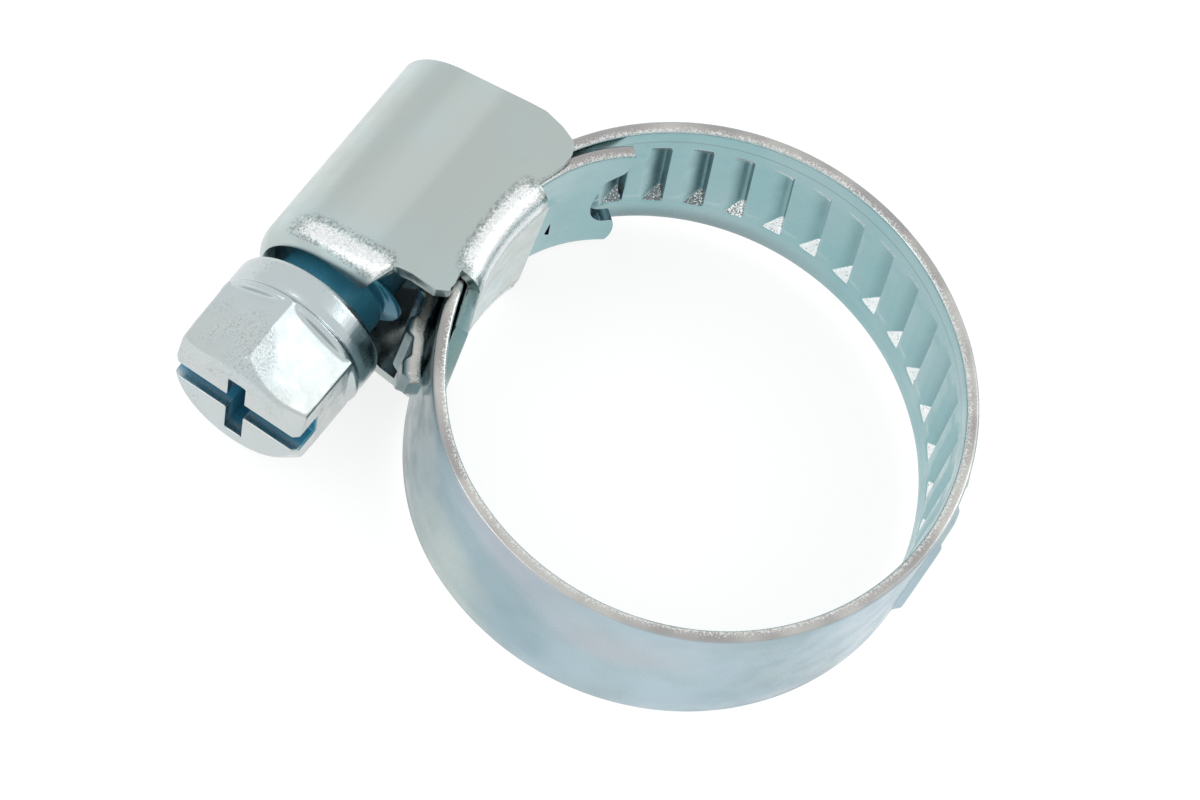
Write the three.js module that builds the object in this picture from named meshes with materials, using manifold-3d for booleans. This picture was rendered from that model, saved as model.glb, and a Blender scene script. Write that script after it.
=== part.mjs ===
// Worm-drive hose clamp: steel band, screw housing and hex-head screw, in millimetres.
// Origin: centre of the ring at mid-width. +Z: ring axis. +X: along the screw, away from its head.
// +Y: from the ring's centre out through the housing.
import * as THREE from "three";
import { mergeVertices } from "three/addons/utils/BufferGeometryUtils.js";
import { ParametricGeometry } from "three/addons/geometries/ParametricGeometry.js";
import Module from "manifold-3d";

const wasm = await Module();
wasm.setup();

// Band
const BAND_WIDTH = 9.0;
const BAND_THICKNESS = 0.62;
const RING_RADIUS = 12.6;
const HOUSING_BAND_RADIUS = 12.08;
const FLATTEN_START = 108;
const FLATTEN_END = 156;
const TONGUE_TIP = 48.0;
const TONGUE_DROP = 0.42;
const TONGUE_DROP_START = 70;
const FORK_NOTCH_ANGLE = 55;
const FORK_NOTCH_LOW = -2.4;
const FORK_NOTCH_HIGH = 1.3;
const LINK_COUNT = 7;
const LINK_START = 120.55;
const LINK_END = 312.7;
const LINK_GAP = 0.3;

// Toothed end
const RACK_CENTRE = new THREE.Vector2(-0.15, 0.16);
const RACK_RADIUS = 12.8;
const RACK_TIP = 125;
const TAIL_WIDTH = 5.6;
const TAIL_START = 101;
const TAIL_SLANT_START = 116;
const TAIL_SLANT = 61;
const TOOTH_PITCH = 9.15;
const LINK_FIRST_TOOTH = -10;
const RACK_FIRST_TOOTH = -5;
const LAST_TOOTH = 13;
const TOOTH_PHASE = 3.075;
const TOOTH_WIDTH = 0.9;
const TOOTH_LENGTH = 5.4;
const TOOTH_HEIGHT = 0.35;
const TOOTH_RECESS = 0.3;
const TOOTH_LEAD_ANGLE = 6.4;

// Screw
const SCREW_Y = 16.55;
const SCREW_ROLL = -5.6;
const HEAD_END = -12.95;
const HEX_BASE = -8.8;
const HEX_ACROSS_FLATS = 7.0;
const HEX_CHAMFER_RADIUS = 3.7;
const COLLAR_END = -6.9;
const COLLAR_RADIUS = 3.9;
const NECK_RADIUS = 2.6;
const WORM_CORE_RADIUS = 2.4;
const WORM_TIP_RADIUS = 3.2;
const WORM_START = -4.7;
const WORM_END = 4.7;
const WORM_LEAD = 2.12;
const THREAD_ROOT_WIDTH = 0.85;
const THREAD_TIP_WIDTH = 0.3;
const JOURNAL_RADIUS = 2.3;
const JOURNAL_END = 5.6;
const SLOT_WIDTH = 1.3;
const SLOT_DEPTH = 1.5;
const CROSS_WIDTH = 0.95;
const CROSS_LENGTH = 4.8;
const CROSS_DEPTH = 2.2;

// Housing
const SHEET = 0.68;
const DOME_RADIUS = 4.05;
const SHOULDER_Y = 13.3;
const WALL_Z = 5.35;
const WALL_BEND_RADIUS = 1.0;
const FLOOR_RADIUS = 10.95;
const FLOOR_END_RIGHT = 75.5;
const FLOOR_END_LEFT = 116;
const WALL_RIGHT = 6.05;
const WALL_CORNER = 1.3;
const WALL_FOOT_X = 2.7;
const WALL_FOOT_Y = 12.0;
const MOUTH_X = -4.9;
const CURL_END = -5.75;
const CURL_RADIUS = 3.0;
const LIP_X = -4.35;
const LIP_Y = 12.15;
const NOTCH_X = -3.2;

const X_AXIS = new THREE.Vector3(1, 0, 0);
const Y_AXIS = new THREE.Vector3(0, 1, 0);
const Z_AXIS = new THREE.Vector3(0, 0, 1);
const radians = THREE.MathUtils.degToRad;

function signedVolume(geometry) {
  const points = geometry.attributes.position;
  const a = new THREE.Vector3();
  const b = new THREE.Vector3();
  const c = new THREE.Vector3();
  let volume = 0;
  for (let i = 0; i < geometry.index.count; i += 3) {
    a.fromBufferAttribute(points, geometry.index.getX(i));
    b.fromBufferAttribute(points, geometry.index.getX(i + 1));
    c.fromBufferAttribute(points, geometry.index.getX(i + 2));
    volume += a.dot(b.cross(c)) / 6;
  }
  return volume;
}

// A closed three.js geometry as a solid that can be joined and cut.
function toSolid(source) {
  const bare = source.clone();
  bare.deleteAttribute("normal");
  bare.deleteAttribute("uv");
  const merged = mergeVertices(bare, 1e-4);
  const inward = signedVolume(merged) < 0;
  const triangles = [];
  for (let i = 0; i < merged.index.count; i += 3) {
    const a = merged.index.getX(i);
    const b = merged.index.getX(i + 1);
    const c = merged.index.getX(i + 2);
    if (a === b || b === c || a === c) continue;
    if (inward) triangles.push(a, c, b);
    else triangles.push(a, b, c);
  }
  const mesh = new wasm.Mesh({
    numProp: 3,
    vertProperties: new Float32Array(merged.attributes.position.array),
    triVerts: new Uint32Array(triangles),
  });
  return new wasm.Manifold(mesh);
}

function toGeometry(solid) {
  const mesh = solid.getMesh();
  const geometry = new THREE.BufferGeometry();
  geometry.setAttribute("position", new THREE.BufferAttribute(mesh.vertProperties, 3));
  geometry.setIndex(new THREE.BufferAttribute(mesh.triVerts, 1));
  geometry.computeVertexNormals();
  return geometry;
}

function polar(radius, angle, centre = new THREE.Vector2()) {
  const a = radians(angle);
  return new THREE.Vector2(centre.x + radius * Math.cos(a), centre.y + radius * Math.sin(a));
}

// Outline drawn in XY, as deep as `width` along Z and centred on Z = 0.
function extrudeZ(shape, width) {
  const geometry = new THREE.ExtrudeGeometry(shape, { depth: width, bevelEnabled: false, curveSegments: 16 });
  return geometry.translate(0, 0, -width / 2);
}

// Outline drawn in (Y, Z), from `from` to `to` along X.
function extrudeX(shape, from, to) {
  const options = { depth: to - from, bevelEnabled: false, curveSegments: 28 };
  const geometry = new THREE.ExtrudeGeometry(shape, options);
  geometry.applyMatrix4(new THREE.Matrix4().makeBasis(Y_AXIS, Z_AXIS, X_AXIS));
  return geometry.translate(from, 0, 0);
}

// Profile of (radius, z) points turned about the ring's axis.
function turnAboutZ(points, segments) {
  const geometry = new THREE.LatheGeometry([...points, points[0]], segments);
  return geometry.applyMatrix4(new THREE.Matrix4().makeBasis(X_AXIS, Z_AXIS, Y_AXIS.clone().negate()));
}

// Profile of (radius, x) points turned about the screw's axis.
function turnAboutScrew(points, segments) {
  const geometry = new THREE.LatheGeometry(points, segments);
  geometry.applyMatrix4(new THREE.Matrix4().makeBasis(Y_AXIS, X_AXIS, Z_AXIS.clone().negate()));
  return geometry.translate(0, SCREW_Y, 0);
}

function block(size, position) {
  return new THREE.BoxGeometry(size.x, size.y, size.z).translate(position.x, position.y, position.z);
}

// A strip of band between two angles, its mid-line at midRadius(angle).
function bandStrip(midRadius, from, to, steps, centre) {
  const outer = [];
  const inner = [];
  for (let i = 0; i <= steps; i += 1) {
    const angle = from + ((to - from) * i) / steps;
    outer.push(polar(midRadius(angle) + BAND_THICKNESS / 2, angle, centre));
    inner.unshift(polar(midRadius(angle) - BAND_THICKNESS / 2, angle, centre));
  }
  return extrudeZ(new THREE.Shape([...outer, ...inner]), BAND_WIDTH);
}

function ringRadius(angle) {
  const t = THREE.MathUtils.smoothstep(angle, FLATTEN_START, FLATTEN_END);
  return THREE.MathUtils.lerp(HOUSING_BAND_RADIUS, RING_RADIUS, t);
}

function tongueRadius(angle) {
  const t = Math.max(0, (TONGUE_DROP_START - angle) / (TONGUE_DROP_START - TONGUE_TIP));
  return HOUSING_BAND_RADIUS - TONGUE_DROP * t * t;
}

function fixedEnd() {
  const strip = toSolid(bandStrip(tongueRadius, TONGUE_TIP, LINK_START - degreesOf(LINK_GAP / 2), 26));
  const height = FORK_NOTCH_HIGH - FORK_NOTCH_LOW;
  const notch = block(new THREE.Vector3(4, 3, height), new THREE.Vector3());
  notch.translate(0, -1.5, (FORK_NOTCH_HIGH + FORK_NOTCH_LOW) / 2);
  notch.rotateZ(radians(FORK_NOTCH_ANGLE));
  const foot = polar(tongueRadius(FORK_NOTCH_ANGLE), FORK_NOTCH_ANGLE);
  notch.translate(foot.x, foot.y, 0);
  return toGeometry(strip.subtract(toSolid(notch)));
}

function degreesOf(arcLength) {
  return THREE.MathUtils.radToDeg(arcLength / RING_RADIUS);
}

function bandLink(index) {
  const pitch = (LINK_END - LINK_START) / LINK_COUNT;
  const from = LINK_START + pitch * index + degreesOf(LINK_GAP / 2);
  const to = LINK_START + pitch * (index + 1) - degreesOf(LINK_GAP / 2);
  let link = toSolid(bandStrip(ringRadius, from, to, 10));
  for (let i = LINK_FIRST_TOOTH; i < RACK_FIRST_TOOTH; i += 1) {
    const angle = 360 + toothAngle(i);
    if (angle > from && angle < to) link = pressTooth(link, angle, RING_RADIUS, new THREE.Vector2());
  }
  return toGeometry(link);
}

function toothAngle(index) {
  return TOOTH_PHASE + TOOTH_PITCH * index;
}

function toothBlock(angle, depth, radius, centre, width, length) {
  const tooth = block(new THREE.Vector3(depth, width, length), new THREE.Vector3());
  tooth.rotateX(radians(-TOOTH_LEAD_ANGLE));
  tooth.translate(radius, 0, 0);
  tooth.rotateZ(radians(angle));
  return toSolid(tooth.translate(centre.x, centre.y, 0));
}

// A pressed tooth: a ridge on the outer face over a recess in the inner face.
function pressTooth(band, angle, midRadius, centre) {
  const outer = midRadius + BAND_THICKNESS / 2;
  const inner = midRadius - BAND_THICKNESS / 2;
  const ridge = toothBlock(angle, 2 * TOOTH_HEIGHT, outer, centre, TOOTH_WIDTH, TOOTH_LENGTH);
  const recess = toothBlock(angle, 2 * TOOTH_RECESS, inner, centre, TOOTH_WIDTH - 0.2, TOOTH_LENGTH - 0.6);
  return band.add(ridge).subtract(recess);
}

function toothedEnd() {
  const start = LINK_END - 360 + degreesOf(LINK_GAP / 2);
  let band = toSolid(bandStrip(() => RACK_RADIUS, start, RACK_TIP, 60, RACK_CENTRE));
  for (let i = RACK_FIRST_TOOTH; i <= LAST_TOOTH; i += 1) {
    band = pressTooth(band, toothAngle(i), RACK_RADIUS, RACK_CENTRE);
  }
  for (const side of [-1, 1]) {
    const trim = block(new THREE.Vector3(4, 6, 2), new THREE.Vector3(RACK_RADIUS, 3, side));
    trim.translate(0, 0, (side * TAIL_WIDTH) / 2);
    trim.rotateZ(radians(TAIL_START));
    band = band.subtract(toSolid(trim.translate(RACK_CENTRE.x, RACK_CENTRE.y, 0)));
  }
  return toGeometry(band.subtract(tailSlant()));
}

// The tail's tip is cut on a slant, so it's longer on the +Z side.
function tailSlant() {
  const slant = block(new THREE.Vector3(4, 12, 6), new THREE.Vector3(0, 0, -3));
  slant.rotateX(radians(TAIL_SLANT));
  slant.translate(RACK_RADIUS, 0, -TAIL_WIDTH / 2);
  slant.rotateZ(radians(TAIL_SLANT_START));
  return toSolid(slant.translate(RACK_CENTRE.x, RACK_CENTRE.y, 0));
}

function screwBody() {
  const profile = [
    new THREE.Vector2(0, HEX_BASE - 0.3),
    new THREE.Vector2(COLLAR_RADIUS - 0.25, HEX_BASE - 0.3),
    new THREE.Vector2(COLLAR_RADIUS, HEX_BASE + 0.1),
    new THREE.Vector2(COLLAR_RADIUS, COLLAR_END - 0.25),
    new THREE.Vector2(COLLAR_RADIUS - 0.3, COLLAR_END),
    new THREE.Vector2(NECK_RADIUS, COLLAR_END),
    new THREE.Vector2(NECK_RADIUS, WORM_START - 0.4),
    new THREE.Vector2(WORM_CORE_RADIUS, WORM_START),
    new THREE.Vector2(WORM_CORE_RADIUS, WORM_END),
    new THREE.Vector2(JOURNAL_RADIUS, WORM_END + 0.2),
    new THREE.Vector2(JOURNAL_RADIUS, JOURNAL_END - 0.3),
    new THREE.Vector2(JOURNAL_RADIUS - 0.3, JOURNAL_END),
    new THREE.Vector2(0, JOURNAL_END),
  ];
  return toSolid(turnAboutScrew(profile, 48));
}

function hexHead() {
  const circumradius = HEX_ACROSS_FLATS / Math.sqrt(3);
  const hexagon = new THREE.Shape();
  for (let i = 0; i < 6; i += 1) {
    const a = radians(30 + 60 * i);
    const corner = [circumradius * Math.cos(a), circumradius * Math.sin(a)];
    if (i === 0) hexagon.moveTo(...corner);
    else hexagon.lineTo(...corner);
  }
  const prism = extrudeX(hexagon, HEAD_END, HEX_BASE).translate(0, SCREW_Y, 0);
  const cone = [
    new THREE.Vector2(0, HEAD_END - 0.01),
    new THREE.Vector2(HEX_CHAMFER_RADIUS - 0.5, HEAD_END - 0.01),
    new THREE.Vector2(circumradius + 0.05, HEAD_END + 0.7),
    new THREE.Vector2(circumradius + 0.05, HEX_BASE + 0.01),
    new THREE.Vector2(0, HEX_BASE + 0.01),
  ];
  return toSolid(prism).intersect(toSolid(turnAboutScrew(cone, 48)));
}

// Right-hand trapezoidal thread that rises out of the core and sinks back into it.
function wormThread() {
  const travel = WORM_END - WORM_START;
  const turns = travel / WORM_LEAD;
  const buried = WORM_CORE_RADIUS - 0.3;
  function surface(u, v, target) {
    const fade = Math.min(1, Math.min(v, 1 - v) * turns * 4);
    const tip = THREE.MathUtils.lerp(buried, WORM_TIP_RADIUS, fade);
    const corner = Math.round(u * 4) % 4;
    const radius = corner === 1 || corner === 2 ? tip : buried;
    const half = 0.5 * fade * (corner === 1 || corner === 2 ? THREAD_TIP_WIDTH : THREAD_ROOT_WIDTH);
    const side = corner < 2 ? -1 : 1;
    const angle = Math.PI + 2 * Math.PI * turns * (v - 0.5);
    target.set(
      travel * (v - 0.5) + side * half,
      SCREW_Y + radius * Math.cos(angle),
      radius * Math.sin(angle),
    );
  }
  return toSolid(new ParametricGeometry(surface, 4, Math.round(turns * 20)));
}

function screw() {
  const slotX = HEAD_END + SLOT_DEPTH / 2 - 0.5;
  const crossX = HEAD_END + CROSS_DEPTH / 2 - 0.5;
  const slot = block(new THREE.Vector3(SLOT_DEPTH + 1, 12, SLOT_WIDTH), new THREE.Vector3(slotX, SCREW_Y, 0));
  const cross = block(
    new THREE.Vector3(CROSS_DEPTH + 1, CROSS_WIDTH, CROSS_LENGTH),
    new THREE.Vector3(crossX, SCREW_Y, -0.2),
  );
  const body = screwBody().add(hexHead()).add(wormThread());
  const cut = body.subtract(toSolid(slot)).subtract(toSolid(cross));
  const geometry = toGeometry(cut);
  geometry.translate(0, -SCREW_Y, 0);
  geometry.rotateX(radians(SCREW_ROLL));
  return geometry.translate(0, SCREW_Y, 0);
}

// Section of the sheet wrap in (Y, Z), drawn `inset` inside its outer face.
function wrapSection(inset) {
  const radius = DOME_RADIUS - inset;
  const wallZ = WALL_Z - inset;
  const shoulder = SHOULDER_Y - inset * 0.3;
  const reach = Math.hypot(SCREW_Y - shoulder, wallZ);
  const tangent = Math.atan2(wallZ, shoulder - SCREW_Y) - Math.acos(radius / reach);
  const section = new THREE.Shape();
  section.moveTo(8, -wallZ);
  section.lineTo(shoulder, -wallZ);
  section.absarc(SCREW_Y, 0, radius, -tangent, tangent, false);
  section.lineTo(shoulder, wallZ);
  section.lineTo(8, wallZ);
  return section;
}

// Everything outside `radius` from the ring's axis and inside the walls, with rounded lower edges.
function ringLimit(radius, wallZ, corner) {
  const points = [];
  for (let i = 0; i <= 6; i += 1) {
    const a = radians(90 * (i / 6));
    points.push(new THREE.Vector2(
      radius + corner * (1 - Math.sin(a)),
      -wallZ + corner * (1 - Math.cos(a)),
    ));
  }
  const mirrored = points.map((p) => new THREE.Vector2(p.x, -p.y)).reverse();
  const far = [new THREE.Vector2(26, wallZ), new THREE.Vector2(26, -wallZ)];
  return toSolid(turnAboutZ([...points, ...mirrored, ...far], 120));
}

// Side view of the housing: the outline that its walls and floor are trimmed to.
function sideOutline() {
  const outline = new THREE.Shape();
  const floorRight = polar(FLOOR_RADIUS + 1.0, FLOOR_END_RIGHT);
  const below = polar(FLOOR_RADIUS - 1.2, FLOOR_END_RIGHT);
  const floorLeft = polar(FLOOR_RADIUS + 0.9, FLOOR_END_LEFT);
  const belowLeft = polar(FLOOR_RADIUS - 1.2, FLOOR_END_LEFT);
  outline.moveTo(MOUTH_X, 22);
  outline.lineTo(WALL_RIGHT, 22);
  outline.lineTo(WALL_RIGHT, WALL_FOOT_Y + WALL_CORNER);
  outline.quadraticCurveTo(WALL_RIGHT, WALL_FOOT_Y, WALL_RIGHT - WALL_CORNER, WALL_FOOT_Y);
  outline.lineTo(WALL_FOOT_X, WALL_FOOT_Y + 0.1);
  outline.lineTo(floorRight.x, floorRight.y);
  outline.lineTo(below.x, below.y);
  outline.lineTo(belowLeft.x, belowLeft.y);
  outline.lineTo(floorLeft.x, floorLeft.y);
  outline.lineTo(NOTCH_X, LIP_Y - 0.8);
  outline.lineTo(NOTCH_X, LIP_Y + 0.1);
  outline.lineTo(LIP_X, LIP_Y);
  outline.lineTo(LIP_X - 0.4, LIP_Y + 0.45);
  outline.lineTo(MOUTH_X, SHOULDER_Y + 1.1);
  return extrudeZ(outline, 14);
}

// The mouth is swaged inwards round the screw's neck, which keeps the screw in.
function mouthCurl() {
  const profile = [
    new THREE.Vector2(DOME_RADIUS, MOUTH_X + 0.5),
    new THREE.Vector2(DOME_RADIUS, MOUTH_X),
    new THREE.Vector2(DOME_RADIUS - 0.1, MOUTH_X - 0.35),
    new THREE.Vector2(DOME_RADIUS - 0.4, MOUTH_X - 0.65),
    new THREE.Vector2(CURL_RADIUS + 0.4, CURL_END),
    new THREE.Vector2(CURL_RADIUS, CURL_END + 0.15),
    new THREE.Vector2(CURL_RADIUS, CURL_END + 0.5),
    new THREE.Vector2(DOME_RADIUS - SHEET, MOUTH_X - 0.1),
    new THREE.Vector2(DOME_RADIUS - SHEET, MOUTH_X + 0.5),
    new THREE.Vector2(DOME_RADIUS, MOUTH_X + 0.5),
  ];
  const open = block(new THREE.Vector3(4, 6, 10), new THREE.Vector3(MOUTH_X, SCREW_Y - 5.2, 0));
  return toSolid(turnAboutScrew(profile, 56)).subtract(toSolid(open));
}

function housing() {
  const outer = toSolid(extrudeX(wrapSection(0), -9, 9));
  const limited = outer.intersect(ringLimit(FLOOR_RADIUS, WALL_Z, WALL_BEND_RADIUS));
  const hollow = toSolid(extrudeX(wrapSection(SHEET), -10, 10));
  const inside = hollow.intersect(ringLimit(FLOOR_RADIUS + SHEET, WALL_Z - SHEET, 0.12));
  const wrap = limited.subtract(inside).intersect(toSolid(sideOutline()));
  return toGeometry(wrap.add(mouthCurl()));
}

const zincLook = { metalness: 1.0, roughness: 0.3 };
const bandSteel = new THREE.MeshStandardMaterial({ color: 0xa9c0c4, ...zincLook });
const housingSteel = new THREE.MeshStandardMaterial({ color: 0xbac4c0, ...zincLook });
const screwSteel = new THREE.MeshStandardMaterial({ color: 0xb4c0c2, ...zincLook });

const clamp = new THREE.Group();

function addPart(name, geometry, material) {
  const mesh = new THREE.Mesh(geometry, material);
  mesh.name = name;
  clamp.add(mesh);
}

addPart("screw_housing", housing(), housingSteel);
addPart("hex_screw", screw(), screwSteel);
addPart("band_fixed_end", fixedEnd(), bandSteel);
addPart("band_toothed_end", toothedEnd(), bandSteel);
for (let i = 0; i < LINK_COUNT; i += 1) {
  addPart(`band_link_${String(i + 1).padStart(2, "0")}`, bandLink(i), bandSteel);
}

export default clamp;
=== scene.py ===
"""Worm-drive hose clamp: its looks, floor, lights and camera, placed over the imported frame.

Constants are in millimetres and degrees unless they say otherwise, and MM turns them into metres.
X runs along the screw, Y from the ring's centre to the screw and Z along the hose.
"""
import math

import bmesh
import bpy
import numpy as np
from mathutils import Matrix, Vector


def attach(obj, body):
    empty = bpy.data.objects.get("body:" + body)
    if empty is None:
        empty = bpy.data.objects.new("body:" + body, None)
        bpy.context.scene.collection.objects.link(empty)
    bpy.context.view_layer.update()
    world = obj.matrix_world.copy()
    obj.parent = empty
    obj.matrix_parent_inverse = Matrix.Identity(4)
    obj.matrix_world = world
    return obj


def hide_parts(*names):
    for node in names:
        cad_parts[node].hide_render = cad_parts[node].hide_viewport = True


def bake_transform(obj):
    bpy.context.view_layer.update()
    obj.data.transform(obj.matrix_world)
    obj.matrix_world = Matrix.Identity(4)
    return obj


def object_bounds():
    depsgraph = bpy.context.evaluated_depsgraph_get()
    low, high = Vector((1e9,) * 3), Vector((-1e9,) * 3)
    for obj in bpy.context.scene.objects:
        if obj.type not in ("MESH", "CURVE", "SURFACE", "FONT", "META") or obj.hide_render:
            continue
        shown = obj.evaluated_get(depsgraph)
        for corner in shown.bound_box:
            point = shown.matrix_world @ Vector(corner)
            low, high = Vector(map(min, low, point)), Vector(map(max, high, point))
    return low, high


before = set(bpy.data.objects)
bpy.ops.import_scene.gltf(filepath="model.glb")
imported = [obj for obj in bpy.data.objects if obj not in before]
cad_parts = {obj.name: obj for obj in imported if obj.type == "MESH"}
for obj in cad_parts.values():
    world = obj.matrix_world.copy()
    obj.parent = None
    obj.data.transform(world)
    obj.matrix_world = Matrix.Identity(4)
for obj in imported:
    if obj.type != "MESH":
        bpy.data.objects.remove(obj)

CAD_BOX = [list(corner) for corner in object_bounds()]
MM = 0.001

# Band, as in the CAD
BAND_WIDTH = 9.0
BAND_THICKNESS = 0.62
RING_RADIUS = 12.6
HOUSING_BAND_RADIUS = 12.08
FLATTEN_START = 108
FLATTEN_END = 156
TONGUE_TIP = 46.0
TONGUE_DROP = 0.42
TONGUE_DROP_START = 70
TONGUE_DROP_END = 49
FIXED_STRIP_END = 107.5
TONGUE_STEP = 0.5
TONGUE_LINES = 41
TONGUE_CUT_RADII = (10.4, 13.4)
DIMPLE = (69.8, 1.3)
DIMPLE_DEPTH = 0.16
DIMPLE_FADE = (0.1, 0.75)
FORK = [(44, 6.5), (50.4, 6.5), (50.6, 4.4), (51.1, 2.8), (53.4, 2.3), (56.0, 1.75), (56.0, 0.9),
        (56.7, 0.0), (56.6, -0.9), (55.4, -1.8), (53.2, -2.3), (51.4, -2.3), (50.0, -2.2), (49.1, -2.7),
        (48.8, -3.5), (49.3, -4.2), (50.6, -4.65), (51.2, -6.5), (44, -6.5)]
SLIT = [(65.4, -2.6), (66.9, -2.3), (66.3, -1.2)]
LINK_COUNT = 7
LINK_START = 120.55
LINK_END = 312.7
BAND_STEP = 0.75

# Toothed end
RACK_CENTRE = (-0.15, 0.16)
RACK_RADIUS = 12.8
RACK_START = LINK_END - 360
RACK_STEP = 0.02
RACK_STEP_REACH = 10
RACK_TIP = 125
TAIL_LIMITS = (-2.8, 2.75)
TAIL_START = 99
TAIL_TAPER = 5
TAIL_SLANT = (116, 124.8)
TAIL_TIP_Z = 0.5
TAIL_ROUND = 1.5
TAIL_ROUND_DEPTH = 0.5
TOOTH_PITCH = 9.15
TOOTH_PHASE = 3.075
LINK_TEETH = range(-10, -5)
RACK_TEETH = range(-5, 14)
TOOTH_LEAD = math.tan(math.radians(6.4))
LEAD_FADE = (-114, -104)
TOOTH_ROWS = (0.0, 0.12, 0.24, 0.34, 0.42, 0.50, 0.58, 0.66, 0.76)
TOOTH_LINES = (0.0, 0.3, 0.6, 0.9, 1.2, 1.5, 1.7, 1.85, 2.0, 2.1, 2.2, 2.35, 2.5, 2.65, 2.8, 2.95, 3.1, 3.4,
               3.56, 3.62, 3.68, 4.0, 4.3)
RIDGE_HEIGHT = 0.33
RIDGE_SIDES = (0.32, 0.64)
RIDGE_ENDS = (2.4, 3.0)
RECESS_DEPTH = 0.46
RECESS_HALF_WIDTH = 0.56
RECESS_WALL = 0.13
RECESS_SLOPE = 0.85
RECESS_END = 2.85
RECESS_FLOOR_END = 1.85
PILLOW_HEIGHT = 0.07
PILLOW_ENDS = (1.95, 2.35)
PILLOW_SIDES = (0.56, 0.72)
BORDER_STEP = 0.02
BORDER_STEP_Z = (3.58, 3.66)
# Painted shade line beside the border step
STEP_SHADE_Z = 3.51
STEP_SHADE_HALF_WIDTH = 0.05

# Band's painted light and painted shade masks: how far each reaches along the strip or across it, and its
# full strength
# Painted light: the inner face and its facets lit brighter at low angles round the ring
PAINTED_LIGHT_FADE = (6, 34)
# Painted shade on the band's outside just past the housing, fading along the strip
HOUSING_SHADE_START = 110
HOUSING_SHADE_FADE = (128, 160)
HOUSING_SHADE_SHARE = 0.9
# Painted shade along the inner face's near border, fading out round the ring
BORDER_SHADE_FADE = (-20, 30)
BORDER_SHADE_REACH = (2.9, 4.2)
BORDER_SHADE_SHARE = 0.8

# Screw
SCREW_Y = 16.55
SCREW_ROLL = math.radians(-5.6)
HEAD_END = -12.95
HEX_BASE = -8.75
HEX_ACROSS_FLATS = 7.0
COLLAR_END = -6.9
COLLAR_RADIUS = 3.9
NECK_RADIUS = 2.6
WORM_CORE = 2.4
WORM_TIP = 3.2
WORM_HALF_LENGTH = 4.7
THREAD_ROOT = WORM_CORE - 0.3
THREAD_HALF_ROOT = 0.42
THREAD_HALF_TIP = 0.16
THREAD_STEPS = 48
WORM_LEAD = 2.12
JOURNAL_END = 5.5
SLOT_WIDTH = 1.35
SLOT_DEPTH = 1.5
CROSS_WIDTH = 0.95
CROSS_LENGTH = 4.8
CROSS_DEPTH = 2.2
CROSS_MIDDLE = -0.2
SCREW_VOXEL = 0.055
CONE_PROFILE = [(HEAD_END - 0.1, 3.15), (HEAD_END + 0.02, 3.3), (HEAD_END + 0.62, 3.95),
                (HEX_BASE + 0.3, 4.3), (HEX_BASE + 0.4, 1.0)]
SHAFT_PROFILE = [
    (HEX_BASE - 0.6, 2.0), (HEX_BASE - 0.35, 3.3), (HEX_BASE - 0.2, 3.86), (HEX_BASE, 3.95),
    (HEX_BASE + 0.14, 3.86), (HEX_BASE + 0.22, 3.74), (HEX_BASE + 0.34, 3.82),
    (HEX_BASE + 0.6, COLLAR_RADIUS), (COLLAR_END - 0.35, COLLAR_RADIUS),
    (COLLAR_END - 0.12, COLLAR_RADIUS - 0.12), (COLLAR_END, COLLAR_RADIUS - 0.4),
    (COLLAR_END, NECK_RADIUS + 0.3), (COLLAR_END + 0.3, NECK_RADIUS), (-5.1, NECK_RADIUS),
    (-4.7, WORM_CORE), (WORM_HALF_LENGTH, WORM_CORE), (JOURNAL_END - 0.3, WORM_CORE - 0.1),
    (JOURNAL_END, WORM_CORE - 0.4),
]

# Housing, along the middle of its sheet
SHEET = 0.68
WALL_Z = 5.01
FLOOR_RADIUS = 11.29
FLOOR_RIGHT = 75.5
FLOOR_LEFT = 116
FLOOR_ARC_REACH = 5.6
WALL_BEND = 0.66
DOME_RADIUS = 3.71
SHOULDER_Y = 13.3
MOUTH_X = -4.85
CURL_REACH = 0.85
CURL_RADIUS = 3.3
CURL_ANGLE = math.radians(82)
CURL_SPACING = 0.02
VEE_Y = 14.5
VEE_OPENS = (VEE_Y - 0.1, VEE_Y + 0.15)
EDGE_BEVEL = 0.1
RIGHT_EDGE = [(11.3, 2.6), (11.9, 2.7), (11.97, 4.2), (12.1, 4.9), (12.4, 5.5), (12.8, 5.8), (13.3, 5.97),
              (14.0, 6.0)]
LEFT_EDGE_ABOVE = [(11.4, -3.2), (12.1, -3.2), (12.16, -4.25), (12.22, -4.4), (12.6, -4.76), (14.3, MOUTH_X)]
LEFT_EDGE_BELOW = [(11.4, -3.2), (11.75, -3.2), (11.8, -4.4), (11.86, -4.85), (12.3, -5.0), (14.3, MOUTH_X)]

# Housing's mask, where the sheet is rubbed bright
WORN_BEND_LEFT = (-3.6, -2.4)
WORN_BEND_RIGHT = (2.0, 3.0)
WORN_FLOOR = (0.8, 1.0)
WORN_WALL = (0.0, 0.7)
WORN_MOUTH_Y = (VEE_Y - 0.5, VEE_Y + 0.1)
WORN_MOUTH_Z = (2.2, 3.5)
WORN_MOUTH_REACH = (-0.1, 0.85)
WORN_CURL = (0.35, 0.7)

# Studio: floor's half side in metres, lights as (place, size, watts) in metres, and the photograph's lens
FLOOR_REACH = 3
FLOOR_GREY = 0.30
FLOOR_GLOW = 0.78
WORLD_STRENGTH = 0.95
KEY = ((-0.25, 0.20, 0.40), (0.22, 0.16), 0.2)
FILL = ((0.30, -0.25, 0.30), (0.25, 0.25), 0.32)
CAMERA_PLACE = (-97.7, -15.5, 197.3)
CAMERA_FORWARD = (0.4353, 0.0868, -0.8961)
CAMERA_UP = (0.7071, 0.5826, 0.4005)
FOCAL_LENGTH = 142.74
SENSOR_WIDTH = 36.0


def add_mask(mesh, name, values):
    """A value from 0 to 1 at each vertex, which a material reads by name."""
    layer = mesh.attributes.new(name, "FLOAT", "POINT")
    layer.data.foreach_set("value", np.asarray(values, dtype=np.float32))


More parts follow.
